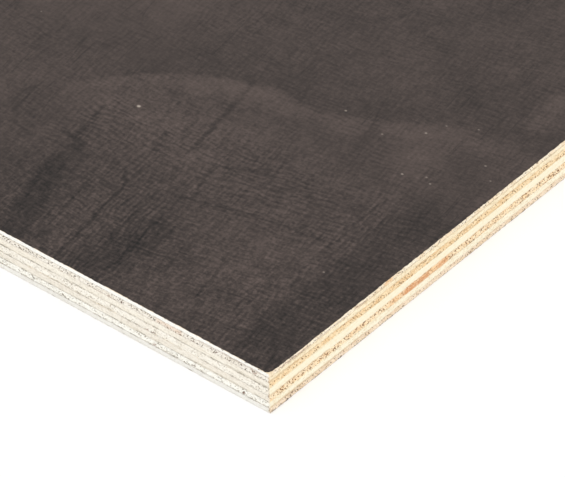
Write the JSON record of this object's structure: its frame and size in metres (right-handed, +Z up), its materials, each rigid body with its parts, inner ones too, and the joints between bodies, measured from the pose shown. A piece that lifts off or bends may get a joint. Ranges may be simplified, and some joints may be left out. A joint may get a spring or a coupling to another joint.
{
  "type": "film-faced plywood sheet",
  "caption": "Flat rectangular birch plywood sheet of crosswise glued veneers with a dark brown phenolic film on both faces and bare sawn edges.",
  "frame": {"origin": "centre of the underside, on the floor the sheet lies on", "axes": "+X along the sheet's length and the grain of its face veneers, +Y across its width, +Z up through the veneers to the top film"},
  "size_m": [2.5, 1.25, 0.009],
  "materials": {
    "phenolic_film": "satin",
    "long_grain_birch": "sawn",
    "cross_grain_birch": "sawn"
  },
  "bodies": {
    "root": {"top_film": "phenolic_film", "face_veneer": "long_grain_birch", "upper_crossband": "cross_grain_birch", "upper_long_veneer": "long_grain_birch", "centre_crossband": "cross_grain_birch", "lower_long_veneer": "long_grain_birch", "lower_crossband": "cross_grain_birch", "back_veneer": "long_grain_birch", "bottom_film": "phenolic_film"}
  },
  "joints": []
}
